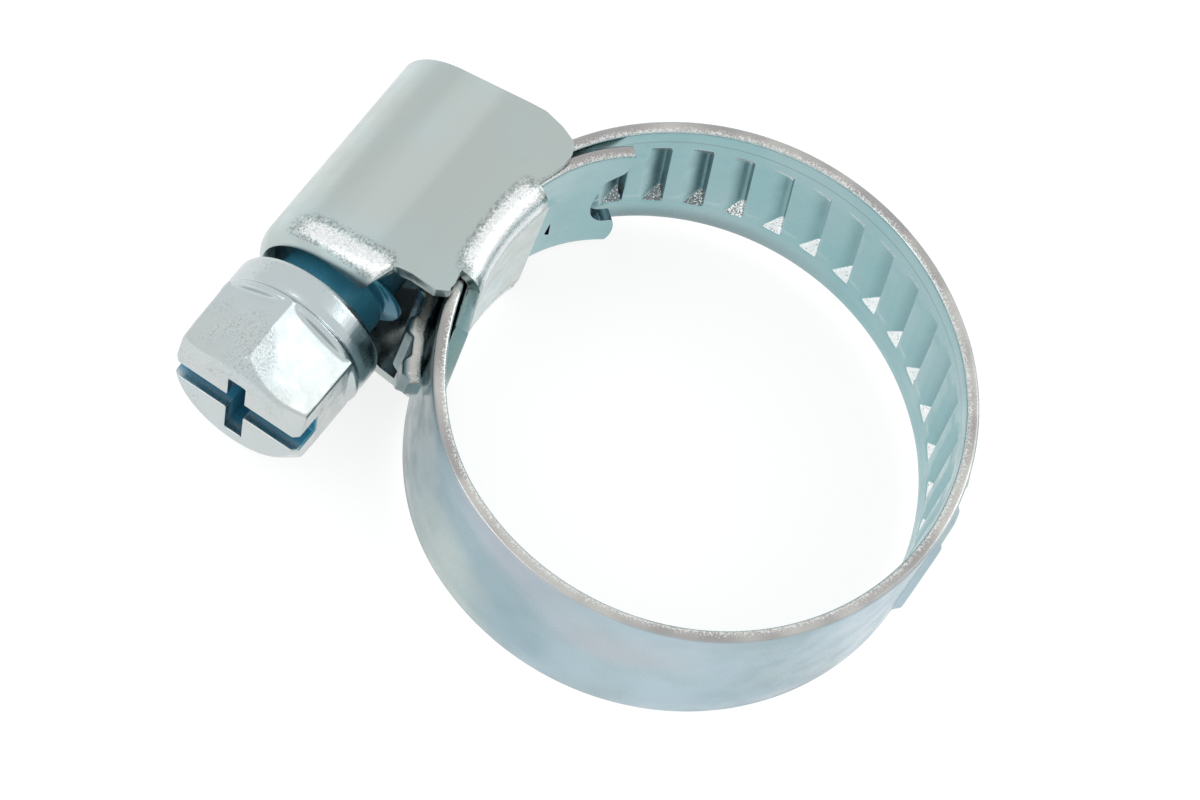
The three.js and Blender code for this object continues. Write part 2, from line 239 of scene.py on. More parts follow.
def mesh_object(name, vertices, faces, masks=None):
    mesh = bpy.data.meshes.new(name)
    mesh.from_pydata(vertices, [], faces)
    for key, values in (masks or {}).items():
        add_mask(mesh, key, values)
    mesh.validate()
    obj = bpy.data.objects.new(name, mesh)
    bpy.context.scene.collection.objects.link(obj)
    return obj


def recalculate_outside(obj):
    bm = bmesh.new()
    bm.from_mesh(obj.data)
    bmesh.ops.recalc_face_normals(bm, faces=bm.faces)
    bm.to_mesh(obj.data)
    bm.free()


def smooth_by_angle(obj, degrees):
    obj.data.shade_smooth()
    obj.data.set_sharp_from_angle(angle=math.radians(degrees))


def apply_modifiers(obj):
    graph = bpy.context.evaluated_depsgraph_get()
    graph.update()
    shown = obj.evaluated_get(graph)
    mesh = bpy.data.meshes.new_from_object(shown, preserve_all_data_layers=True, depsgraph=graph)
    obj.modifiers.clear()
    obj.data = mesh


def combine(obj, cutter, operation):
    """Apply a boolean with the cutter, then remove the cutter."""
    boolean = obj.modifiers.new("combine", "BOOLEAN")
    boolean.operation = operation
    boolean.object = cutter
    boolean.solver = "EXACT"
    apply_modifiers(obj)
    bpy.data.objects.remove(cutter)


def voxel_remesh(obj):
    remesh = obj.modifiers.new("remesh", "REMESH")
    remesh.mode = "VOXEL"
    remesh.voxel_size = SCREW_VOXEL * MM


def smoothstep(value, low, high):
    t = min(max((value - low) / (high - low), 0.0), 1.0)
    return t * t * (3 - 2 * t)


def ring_radius(angle):
    blend = smoothstep(angle, FLATTEN_START, FLATTEN_END)
    return HOUSING_BAND_RADIUS + (RING_RADIUS - HOUSING_BAND_RADIUS) * blend


def tongue_radius(angle):
    drop = max(0.0, (TONGUE_DROP_START - angle) / (TONGUE_DROP_START - TONGUE_DROP_END))
    return HOUSING_BAND_RADIUS - TONGUE_DROP * drop * drop


def toothed_radius(angle):
    return RACK_RADIUS + RACK_STEP * (1 - smoothstep(angle, RACK_START, RACK_START + RACK_STEP_REACH))


def band_section(lines, corner=0.14, corner_steps=3):
    """Points round the strip's section: (offset, share of half width, z offset, innerness, rimness)."""
    half = BAND_THICKNESS / 2

    def corner_point(face, side, step, inner):
        turn = 0.5 * math.pi * step / corner_steps
        offset = face * (half - corner * (1 - math.cos(turn)))
        return offset, side, side * corner * (math.sin(turn) - 1), inner, step / corner_steps

    points = []
    for side in (1, -1):
        inner = 0.0 if side > 0 else 1.0
        points += [(side * half, share, -share * corner, inner, 0.0) for share in side * lines]
        points += [corner_point(side, side, step, inner) for step in range(1, corner_steps + 1)]
        points += [corner_point(-side, side, step, 1 - inner) for step in range(corner_steps, 0, -1)]
    return points


def band_rows(start, end, step, teeth):
    """Angles of the strip's rows, closer together across each tooth."""
    reach = math.degrees((TOOTH_ROWS[-1] + 0.1) / RACK_RADIUS)
    count = max(2, round((end - start) / step))
    evenly = np.linspace(start, end, count + 1)[1:-1]
    rows = [a for a in evenly if all(abs(a - tooth) > reach for tooth in teeth)]
    for tooth in teeth:
        for offset in TOOTH_ROWS:
            for side in (-1, 1) if offset else (1,):
                rows.append(tooth + side * math.degrees(offset / RACK_RADIUS))
    return [start] + sorted(a for a in rows if start + 0.04 < a < end - 0.04) + [end]


def full_width(angle):
    return -BAND_WIDTH / 2, BAND_WIDTH / 2


def tail_limits(angle):
    """The strip narrows behind the housing and ends in a slanted tip."""
    narrow = smoothstep(angle, TAIL_START, TAIL_START + TAIL_TAPER)
    low = -BAND_WIDTH / 2 + (TAIL_LIMITS[0] + BAND_WIDTH / 2) * narrow
    high = BAND_WIDTH / 2 + (TAIL_LIMITS[1] - BAND_WIDTH / 2) * narrow
    slant = min(max((angle - TAIL_SLANT[0]) / (TAIL_SLANT[1] - TAIL_SLANT[0]), 0.0), 1.0)
    tip = min(max((angle - RACK_TIP + TAIL_ROUND) / TAIL_ROUND, 0.0), 1.0)
    high -= TAIL_ROUND_DEPTH * (1 - math.sqrt(1 - tip * tip))
    return low + (TAIL_TIP_Z - low) * slant, high


def tooth_relief(angle, z, teeth):
    """Heights of the raised outer face and the sunk inner face, then shares of sloped end and of painted
    shade lines at the border step and the recess's steep wall.
    """
    nearest = min(teeth, key=lambda tooth: abs(angle - tooth))
    along = math.radians(angle - nearest) * RACK_RADIUS
    raised = RIDGE_HEIGHT * (1 - smoothstep(abs(along), *RIDGE_SIDES)) * (1 - smoothstep(abs(z), *RIDGE_ENDS))
    steep = (RECESS_HALF_WIDTH + along) / RECESS_WALL
    wall = min(steep, (RECESS_HALF_WIDTH - along) / RECESS_SLOPE)
    end = (RECESS_END - abs(z)) / (RECESS_END - RECESS_FLOOR_END)
    depth = min(max(min(wall, end), 0.0), 1.0)
    pillow = (1 - smoothstep(abs(z), *PILLOW_ENDS)) * smoothstep(abs(along), *PILLOW_SIDES)
    border = BORDER_STEP * (1 - smoothstep(abs(z), *BORDER_STEP_Z))
    facet = min(max(0.5 + 1.5 * (wall - end), 0.0), 1.0) if end > 0 else 0.0
    # Painted shade lines: one beside the border step and one along the recess's steep wall
    step_shade = max(0.0, 1 - abs(z - STEP_SHADE_Z) / STEP_SHADE_HALF_WIDTH)
    crease = max(0.0, 1 - abs(steep - 0.5) / 0.6) if end > 0.3 else 0.0
    return raised, RECESS_DEPTH * depth - PILLOW_HEIGHT * pillow + border, facet, max(step_shade, crease)


def band_lines(teeth):
    """Shares of the half width where the section's lines run."""
    if not teeth:
        return np.linspace(-1, 1, 9)
    half = [z / (BAND_WIDTH / 2) for z in TOOTH_LINES] + [1.0]
    return np.array([-share for share in reversed(half[1:])] + half)


def band_piece(name, mid_radius, start, end, step, centre=(0.0, 0.0), teeth=(), limits=full_width,
               relief=None, lines=None):
    """A stretch of the strip, with its looks' masks as attributes, among them painted light and painted
    shade.
    """
    section = band_section(band_lines(teeth) if lines is None else lines)
    angles = band_rows(start, end, step, teeth)
    vertices, inner, rim, tooth, facet, edge_and_line_shade, painted_light, housing_shade = [], [], [], [], [], [], [], []
    for angle in angles:
        low, high = limits(angle)
        turned = angle - (360 if angle > 180 else 0)
        lead = smoothstep(turned, *LEAD_FADE) if teeth else 0.0
        for offset, share, z_shift, innerness, rimness in section:
            z = (low + high) / 2 + share * (high - low) / 2 + z_shift
            raised, sunk, slope, line_shade = tooth_relief(angle, z, teeth) if teeth else (0.0, 0.0, 0.0, 0.0)
            if relief:
                raised = sunk = relief(angle, z)
            across = (offset / BAND_THICKNESS) + 0.5
            radius = mid_radius(angle) + offset + raised * across + sunk * (1 - across)
            a = math.radians(angle) + lead * z * TOOTH_LEAD / RACK_RADIUS
            vertices.append((
                (centre[0] + radius * math.cos(a)) * MM,
                (centre[1] + radius * math.sin(a)) * MM,
                z * MM,
            ))
            inner.append(innerness)
            rim.append(rimness)
            # Recess depth on the inner face, which the finish turns into painted shade
            tooth.append(sunk / RECESS_DEPTH * (1 - across))
            facet.append(slope * (1 - across))
            # Painted light, strongest at low angles round the ring
            painted_light.append(1 - smoothstep(turned, *PAINTED_LIGHT_FADE))
            # Painted shade along the near border of the toothed stretches
            border = smoothstep(-z, *BORDER_SHADE_REACH) * smoothstep(turned, *BORDER_SHADE_FADE) if teeth else 0.0
            # Painted shade lines and painted shade at the near border, on the inner face only
            edge_and_line_shade.append(max(line_shade, BORDER_SHADE_SHARE * border) * innerness)
            # Painted shade on the outside just past the housing
            housing_shade.append(HOUSING_SHADE_SHARE * (1 - smoothstep(angle, *HOUSING_SHADE_FADE)) if angle > HOUSING_SHADE_START else 0.0)
    count = len(angles) - 1
    ring = len(section)
    faces = []
    for i in range(count):
        for j in range(ring):
            k = (j + 1) % ring
            faces.append((i * ring + j, i * ring + k, (i + 1) * ring + k, (i + 1) * ring + j))
    faces.append(tuple(reversed(range(ring))))
    faces.append(tuple(range(count * ring, (count + 1) * ring)))
    masks = {"inner": inner, "rim": rim, "tooth": tooth, "facet": facet, "edge_and_line_shade": edge_and_line_shade, "painted_light": painted_light,
             "housing_shade": housing_shade}
    obj = mesh_object(name, vertices, faces, masks)
    recalculate_outside(obj)
    smooth_by_angle(obj, 32)
    return obj


def radial_prism(name, outline, low, high):
    """A cutter whose outline is drawn on the band in (angle, z)."""
    vertices = []
    for radius in (low, high):
        for angle, z in outline:
            a = math.radians(angle)
            vertices.append((radius * math.cos(a) * MM, radius * math.sin(a) * MM, z * MM))
    count = len(outline)
    faces = [tuple(range(count)), tuple(reversed(range(count, 2 * count)))]
    for i in range(count):
        j = (i + 1) % count
        faces.append((i, i + count, j + count, j))
    obj = mesh_object(name, vertices, faces)
    recalculate_outside(obj)
    return obj


def rounded(outline, times=2):
    """The closed outline with its corners cut twice."""
    for _ in range(times):
        softer = []
        for (a, b), (c, d) in zip(outline, outline[1:] + outline[:1]):
            softer.append((0.75 * a + 0.25 * c, 0.75 * b + 0.25 * d))
            softer.append((0.25 * a + 0.75 * c, 0.25 * b + 0.75 * d))
        outline = softer
    return outline


def tongue_relief(angle, z):
    """A small pressed dimple beside the housing, in millimetres."""
    distance = math.hypot(math.radians(angle - DIMPLE[0]) * HOUSING_BAND_RADIUS, z - DIMPLE[1])
    return -DIMPLE_DEPTH * (1 - smoothstep(distance, *DIMPLE_FADE))


def fixed_end():
    strip = band_piece("band_fixed_strip", tongue_radius, TONGUE_TIP, FIXED_STRIP_END, TONGUE_STEP,
                       relief=tongue_relief, lines=np.linspace(-1, 1, TONGUE_LINES))
    combine(strip, radial_prism("fork", rounded(FORK), *TONGUE_CUT_RADII), "DIFFERENCE")
    combine(strip, radial_prism("slit", SLIT, *TONGUE_CUT_RADII), "DIFFERENCE")
    smooth_by_angle(strip, 35)
    return strip


def link_middle(index):
    pitch = (LINK_END - LINK_START) / LINK_COUNT
    return LINK_START + pitch * (index - 0.5)


def ring_teeth(start, end):
    """Teeth that reach into a stretch of the ring, as angles past half a turn."""
    margin = math.degrees(1.0 / RING_RADIUS)
    angles = [360 + TOOTH_PHASE + TOOTH_PITCH * index for index in LINK_TEETH]
    return [a for a in angles if start - margin < a < end + margin]


def ring_band():
    """The smooth band: each stretch bends across one joint, from a link's middle to the next one's."""
    stretches = []
    for index in range(1, LINK_COUNT + 1):
        start = FIXED_STRIP_END if index == 1 else link_middle(index - 1)
        end = link_middle(index)
        piece = band_piece(f"band_stretch_{index:02d}", ring_radius, start, end, BAND_STEP,
                           teeth=ring_teeth(start, end))
        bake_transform(piece)
        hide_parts(f"band_link_{index:02d}")
        stretches.append(piece)
    start = link_middle(LINK_COUNT)
    last = band_piece("band_stretch_end", ring_radius, start, LINK_END, BAND_STEP,
                      teeth=ring_teeth(start, LINK_END))
    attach(last, f"band_strip_{LINK_COUNT:02d}")
    stretches.append(last)
    return stretches


def section_path():
    """Half of the sheet's section: (kind, share) samples from the floor's middle up to the dome's top."""
    samples = []
    for kind, count in (("floor", 10), ("bend", 12), ("wall", 40), ("slope", 16), ("dome", 22)):
        for i in range(count):
            samples.append((kind, i / count))
    samples.append(("dome", 1.0))
    return samples


def section_point(kind, share, x):
    """(y, z) of the sheet's middle at that place in the section."""
    floor_y = math.sqrt(FLOOR_RADIUS ** 2 - min(abs(x), FLOOR_ARC_REACH) ** 2)
    shoulder_reach = math.hypot(SCREW_Y - SHOULDER_Y, WALL_Z)
    tangent = math.atan2(WALL_Z, SHOULDER_Y - SCREW_Y) - math.acos(DOME_RADIUS / shoulder_reach)
    if kind == "floor":
        return floor_y, share * (WALL_Z - WALL_BEND)
    if kind == "bend":
        turn = 0.5 * math.pi * share
        return floor_y + WALL_BEND * (1 - math.cos(turn)), WALL_Z - WALL_BEND * (1 - math.sin(turn))
    low = floor_y + WALL_BEND
    if kind == "wall":
        return low + (SHOULDER_Y - low) * share, WALL_Z
    if kind == "slope":
        top = (SCREW_Y + DOME_RADIUS * math.cos(tangent), DOME_RADIUS * math.sin(tangent))
        return SHOULDER_Y + (top[0] - SHOULDER_Y) * share, WALL_Z + (top[1] - WALL_Z) * share
    angle = tangent * (1 - share)
    return SCREW_Y + DOME_RADIUS * math.cos(angle), DOME_RADIUS * math.sin(angle)


def edge_at(y, outline):
    return float(np.interp(y, [p[0] for p in outline], [p[1] for p in outline]))


def right_edge(kind, y):
    """How far the sheet reaches to the right at height y of its side view."""
    if kind == "floor":
        return FLOOR_RADIUS * math.cos(math.radians(FLOOR_RIGHT))
    return edge_at(y, RIGHT_EDGE)


def left_edge(kind, y, side):
    """The same to the left, where the wall above the band and the one below it differ."""
    if kind == "floor":
        return FLOOR_RADIUS * math.cos(math.radians(FLOOR_LEFT))
    return edge_at(y, LEFT_EDGE_ABOVE if side > 0 else LEFT_EDGE_BELOW)


def housing():
    """One pressed sheet wrapped round the worm and the band, its mouth curled in round the screw's neck."""
    half = section_path()
    column = [(kind, share, 1) for kind, share in half]
    column += [(kind, share, -1) for kind, share in reversed(half[1:-1])]
    along = np.linspace(0, 1, 56)
    curl = np.linspace(1, 0, 13)[:-1]
    vertices, worn = [], []
    for kind, share, side in column:
        y_mid, z_mid = section_point(kind, share, 0.0)
        left = left_edge(kind, y_mid, side)
        right = right_edge(kind, y_mid)
        opens = smoothstep(y_mid, *VEE_OPENS)
        rubbed = smoothstep(y_mid, *WORN_MOUTH_Y) * smoothstep(z_mid, *WORN_MOUTH_Z)
        for turn in curl:
            phi = CURL_ANGLE * turn
            y, z = section_point(kind, share, left)
            dy, dz = y - SCREW_Y, z
            reach = math.hypot(dy, dz)
            pulled = reach + (CURL_RADIUS - reach) * (1 - math.cos(phi)) * opens
            x = left - CURL_REACH * math.sin(phi) * opens - CURL_SPACING * turn * (1 - opens)
            vertices.append((x, SCREW_Y + dy / reach * pulled, side * dz / reach * pulled))
            worn.append(rubbed * (1 - smoothstep(turn, *WORN_CURL)))
        for t in along:
            x = left + (right - left) * t
            y, z = section_point(kind, share, x)
            vertices.append((x, y, side * z))
            height = y_mid - FLOOR_RADIUS - WALL_BEND
            low_wall = 1 - smoothstep(height, *WORN_WALL)
            bend = {"floor": smoothstep(share, *WORN_FLOOR), "bend": 1.0, "wall": low_wall}
            ends = smoothstep(x, *WORN_BEND_LEFT) * (1 - smoothstep(x, *WORN_BEND_RIGHT))
            mouth = rubbed * (1 - smoothstep(x - left, *WORN_MOUTH_REACH))
            worn.append(max(bend.get(kind, 0.0) * ends, mouth))
    rows = len(curl) + len(along)
    faces = []
    count = len(column)
    for i in range(count):
        k = (i + 1) % count
        for j in range(rows - 1):
            faces.append((i * rows + j, i * rows + j + 1, k * rows + j + 1, k * rows + j))
    points = [(v[0] * MM, v[1] * MM, v[2] * MM) for v in vertices]
    obj = mesh_object("housing_sheet", points, faces, {"worn": worn})
    recalculate_outside(obj)
    solid = obj.modifiers.new("sheet", "SOLIDIFY")
    solid.thickness = SHEET * MM
    solid.offset = 0
    apply_modifiers(obj)
    recalculate_outside(obj)
    bevel = obj.modifiers.new("edges", "BEVEL")
    bevel.width = EDGE_BEVEL * MM
    bevel.segments = 3
    bevel.limit_method = "ANGLE"
    bevel.angle_limit = math.radians(50)
    apply_modifiers(obj)
    smooth_by_angle(obj, 45)
    return obj


def lathe(name, profile, segments=96):
    """Profile of (x, radius) points turned about the screw's axis."""
    vertices, faces = [], []
    for x, radius in profile:
        for i in range(segments):
            a = 2 * math.pi * i / segments
            vertices.append((x * MM, radius * math.cos(a) * MM, radius * math.sin(a) * MM))
    for row in range(len(profile) - 1):
        for i in range(segments):
            k = (i + 1) % segments
            low, high = row * segments, (row + 1) * segments
            faces.append((low + i, low + k, high + k, high + i))
    faces.append(tuple(range(segments)))
    faces.append(tuple(range((len(profile) - 1) * segments, len(profile) * segments)))
    obj = mesh_object(name, vertices, faces)
    recalculate_outside(obj)
    return obj


def hex_head():
    """The hexagon, a little wider at its base, with its end turned to a cone."""
    corner = HEX_ACROSS_FLATS / math.sqrt(3)
    vertices = []
    for x, scale in ((HEAD_END, 0.985), (HEX_BASE, 1.0)):
        for i in range(6):
            a = math.radians(30 + 60 * i)
            vertices.append((x * MM, corner * scale * math.cos(a) * MM, corner * scale * math.sin(a) * MM))
    faces = [(0, 1, 2, 3, 4, 5), (11, 10, 9, 8, 7, 6)]
    faces += [(i, i + 6, (i + 1) % 6 + 6, (i + 1) % 6) for i in range(6)]
    obj = mesh_object("hex_head", vertices, faces)
    recalculate_outside(obj)
    combine(obj, lathe("cone", CONE_PROFILE), "INTERSECT")
    return obj


def worm_thread():
    """The worm's one ridge, fading out at both ends."""
    travel = 2 * WORM_HALF_LENGTH
    turns = travel / WORM_LEAD
    steps = round(turns * THREAD_STEPS)
    vertices, faces = [], []
    for i in range(steps + 1):
        v = i / steps
        fade = max(0.02, min(1.0, min(v, 1 - v) * turns * 4))
        tip = THREAD_ROOT * (1 - fade) + WORM_TIP * fade
        angle = math.pi + 2 * math.pi * turns * (v - 0.5)
        section = ((THREAD_ROOT, -THREAD_HALF_ROOT), (tip, -THREAD_HALF_TIP),
                   (tip, THREAD_HALF_TIP), (THREAD_ROOT, THREAD_HALF_ROOT))
        for radius, half in section:
            vertices.append((
                (travel * (v - 0.5) + half * fade) * MM,
                radius * math.cos(angle) * MM,
                radius * math.sin(angle) * MM,
            ))
    for i in range(steps):
        for j in range(4):
            k = (j + 1) % 4
            faces.append((4 * i + j, 4 * i + k, 4 * i + 4 + k, 4 * i + 4 + j))
    faces.append((3, 2, 1, 0))
    faces.append(tuple(4 * steps + j for j in range(4)))
    obj = mesh_object("thread", vertices, faces)
    recalculate_outside(obj)
    return obj


def box_cutter(name, low, high):
    sides = [(low[axis] * MM, high[axis] * MM) for axis in range(3)]
    vertices = [(x, y, z) for x in sides[0] for y in sides[1] for z in sides[2]]
    faces = [(0, 1, 3, 2), (4, 6, 7, 5), (0, 4, 5, 1), (2, 3, 7, 6), (0, 2, 6, 4), (1, 5, 7, 3)]
    obj = mesh_object(name, vertices, faces)
    recalculate_outside(obj)
    return obj


def join(parts, name):
    bpy.ops.object.select_all(action="DESELECT")
    for part in parts:
        part.select_set(True)
    bpy.context.view_layer.objects.active = parts[0]
    bpy.ops.object.join()
    parts[0].name = name
    return parts[0]


def screw():
    """Hex head, collar, neck and worm as one forged piece with softened edges."""
    obj = join([hex_head(), lathe("shaft", SHAFT_PROFILE), worm_thread()], "screw_forging")
    voxel_remesh(obj)
    apply_modifiers(obj)
    slot = box_cutter("slot", (HEAD_END - 1, -6, -SLOT_WIDTH / 2),
                      (HEAD_END + SLOT_DEPTH, 6, SLOT_WIDTH / 2))
    combine(obj, slot, "DIFFERENCE")
    cross = box_cutter("cross", (HEAD_END - 1, -CROSS_WIDTH / 2, CROSS_MIDDLE - CROSS_LENGTH / 2),
                       (HEAD_END + CROSS_DEPTH, CROSS_WIDTH / 2, CROSS_MIDDLE + CROSS_LENGTH / 2))
    combine(obj, cross, "DIFFERENCE")
    voxel_remesh(obj)
    relax = obj.modifiers.new("relax", "SMOOTH")
    relax.factor = 0.5
    relax.iterations = 3
    apply_modifiers(obj)
    obj.data.shade_smooth()
    deep = []
    for vertex in obj.data.vertices:
        x, y, z = (c / MM for c in vertex.co)
        in_slot = abs(z) < SLOT_WIDTH / 2 + 0.03 and x < HEAD_END + SLOT_DEPTH + 0.1
        in_cross = abs(y) < CROSS_WIDTH / 2 + 0.03 and abs(z - CROSS_MIDDLE) < CROSS_LENGTH / 2 + 0.03
        in_cross = in_cross and x < HEAD_END + CROSS_DEPTH + 0.1
        depth = smoothstep(x, HEAD_END + 0.1, HEAD_END + 0.7) if in_slot or in_cross else 0.0
        neck = smoothstep(x, COLLAR_END - 0.1, COLLAR_END + 0.1) * (1 - 0.85 * smoothstep(x, -4.5, 0.0))
        deep.append(max(depth, neck))
    add_mask(obj.data, "deep", deep)
    obj.data.transform(Matrix.Translation((0, SCREW_Y * MM, 0)) @ Matrix.Rotation(SCREW_ROLL, 4, "X"))
    return obj


class Nodes:
    """A small helper that adds and links shader nodes."""

    def __init__(self, name):
        self.material = bpy.data.materials.new(name)
        self.material.use_nodes = True
        self.tree = self.material.node_tree
        self.shader = self.tree.nodes["Principled BSDF"]
        self.place = self.add("ShaderNodeTexCoord").outputs["Object"]

    def add(self, kind):
        return self.tree.nodes.new(kind)

    def link(self, source, target):
        self.tree.links.new(source, target)

    def noise(self, scale, detail=3.0, stretch=None, roughness=0.5):
        node = self.add("ShaderNodeTexNoise")
        node.inputs["Scale"].default_value = scale
        node.inputs["Detail"].default_value = detail
        node.inputs["Roughness"].default_value = roughness
        place = self.place
        if stretch:
            mapping = self.add("ShaderNodeMapping")
            mapping.inputs["Scale"].default_value = stretch
            self.link(place, mapping.inputs["Vector"])
            place = mapping.outputs["Vector"]
        self.link(place, node.inputs["Vector"])
        return node.outputs["Fac"]

    def attribute(self, name):
        node = self.add("ShaderNodeAttribute")
        node.attribute_name = name
        return node.outputs["Fac"]

    def ramp(self, source, low, high, start=0.0, end=1.0):
        node = self.add("ShaderNodeMapRange")
        node.interpolation_type = "SMOOTHSTEP"
        node.inputs["From Min"].default_value = low
        node.inputs["From Max"].default_value = high
        node.inputs["To Min"].default_value = start
        node.inputs["To Max"].default_value = end
        self.link(source, node.inputs["Value"])
        return node.outputs["Result"]

    def math(self, operation, a, b):
        node = self.add("ShaderNodeMath")
        node.operation = operation
        for socket, value in zip(node.inputs, (a, b)):
            if isinstance(value, (int, float)):
                socket.default_value = value
            else:
                self.link(value, socket)
        return node.outputs["Value"]

    def mix(self, factor, a, b):
        node = self.add("ShaderNodeMix")
        node.data_type = "RGBA"
        for key, value in (("Factor", factor), ("A", a), ("B", b)):
            socket = node.inputs[key]
            if isinstance(value, tuple):
                socket.default_value = (*value, 1.0)
            elif isinstance(value, (int, float)):
                socket.default_value = value
            else:
                self.link(value, socket)
        return [o for o in node.outputs if o.type == "RGBA"][0]

    def bump(self, height, distance, normal=None):
        node = self.add("ShaderNodeBump")
        node.inputs["Strength"].default_value = 1.0
        node.inputs["Distance"].default_value = distance
        self.link(height, node.inputs["Height"])
        if normal is not None:
            self.link(normal, node.inputs["Normal"])
        return node.outputs["Normal"]

    def finish(self, colour, roughness, normal):
        """Link the three inputs of a plated metal."""
        self.link(colour, self.shader.inputs["Base Color"])
        self.link(roughness, self.shader.inputs["Roughness"])
        self.link(normal, self.shader.inputs["Normal"])
        self.shader.inputs["Metallic"].default_value = 1.0
        return self.material


WHITE = (1.0, 1.0, 1.0, 1.0)
GREY_GREEN = (0.54, 0.59, 0.57)
GREY_STREAK = (0.38, 0.43, 0.41)
PALE_BLUE = (0.52, 0.62, 0.62)
BRIGHT = (0.92, 0.95, 0.95)
FLECK_GREY = (0.30, 0.34, 0.34)
FLECK_DARK = (0.20, 0.22, 0.22)
TEAL = (0.27, 0.46, 0.48)
PALE_TEAL = (0.33, 0.49, 0.51)
# Painted shade in the recesses of the teeth
RECESS_SHADE_TEAL = (0.08, 0.19, 0.21)
DEEP_BLUE = (0.06, 0.28, 0.40)
ICE = (0.38, 0.50, 0.56)
MIST = (0.33, 0.44, 0.47)
SLATE = (0.23, 0.35, 0.41)
# Painted shade on the band's outside past the housing
HOUSING_SHADE_PAINT = (0.12, 0.19, 0.20)
RIM_BROWN = (0.38, 0.37, 0.365)
RIM_SILVER = (0.56, 0.555, 0.53)
RIM_SPARK = (0.80, 0.81, 0.79)
STEEL_GREY = (0.54, 0.58, 0.57)
STEEL_BLUE = (0.53, 0.60, 0.62)
# Painted shade for lines and the near border
SHADE_BROWN = (0.13, 0.13, 0.14)
FACET_DARK = (0.15, 0.18, 0.19)
STRAW = (0.62, 0.64, 0.50)
ROSE = (0.60, 0.52, 0.58)


def plating_colour(nodes, base, drift):
    """Zinc plating drifts between two tones over a few millimetres."""
    slow = nodes.ramp(nodes.noise(170, 2.0), 0.38, 0.66)
    return nodes.mix(slow, base, drift)


def fine_grain(nodes, depth, speck, speck_depth):
    """Bump from fine grain everywhere and coarser specks where a mask says so; depths are in metres."""
    grain = nodes.bump(nodes.noise(5200, 4.0), depth)
    sparkle = nodes.math("MULTIPLY", nodes.noise(11000, 3.0, roughness=0.7), speck)
    return nodes.bump(sparkle, speck_depth, grain)


def housing_zinc():
    """Satin sheet with dull drawing streaks along the screw; its bends are rubbed bright and speckled."""
    nodes = Nodes("zinc_housing_finish")
    colour = plating_colour(nodes, GREY_GREEN, PALE_BLUE)
    streaks = nodes.ramp(nodes.noise(260, 2.0, stretch=(0.08, 1.0, 1.0)), 0.46, 0.62)
    colour = nodes.mix(nodes.math("MULTIPLY", streaks, 0.4), colour, GREY_STREAK)
    worn = nodes.attribute("worn")
    flecks = nodes.noise(9000, 3.0, roughness=0.8)
    spread = nodes.math("MULTIPLY", nodes.math("SUBTRACT", flecks, 0.5), 2.4)
    rubbed = nodes.ramp(nodes.math("ADD", worn, spread), 0.45, 0.95)
    dull_flecks = nodes.ramp(nodes.noise(7000, 3.0, roughness=0.8), 0.47, 0.58)
    fringe = nodes.math("MULTIPLY", nodes.ramp(worn, 0.02, 0.25), nodes.ramp(worn, 0.85, 0.55, 0.3, 1.0))
    dull = nodes.math("MULTIPLY", nodes.math("MULTIPLY", dull_flecks, fringe), 0.7)
    colour = nodes.mix(rubbed, colour, BRIGHT)
    colour = nodes.mix(dull, colour, FLECK_DARK)
    roughness = nodes.ramp(nodes.noise(900, 4.0), 0.3, 0.7, 0.24, 0.36)
    return nodes.finish(colour, roughness, fine_grain(nodes, 0.0000012, worn, 0.00002))


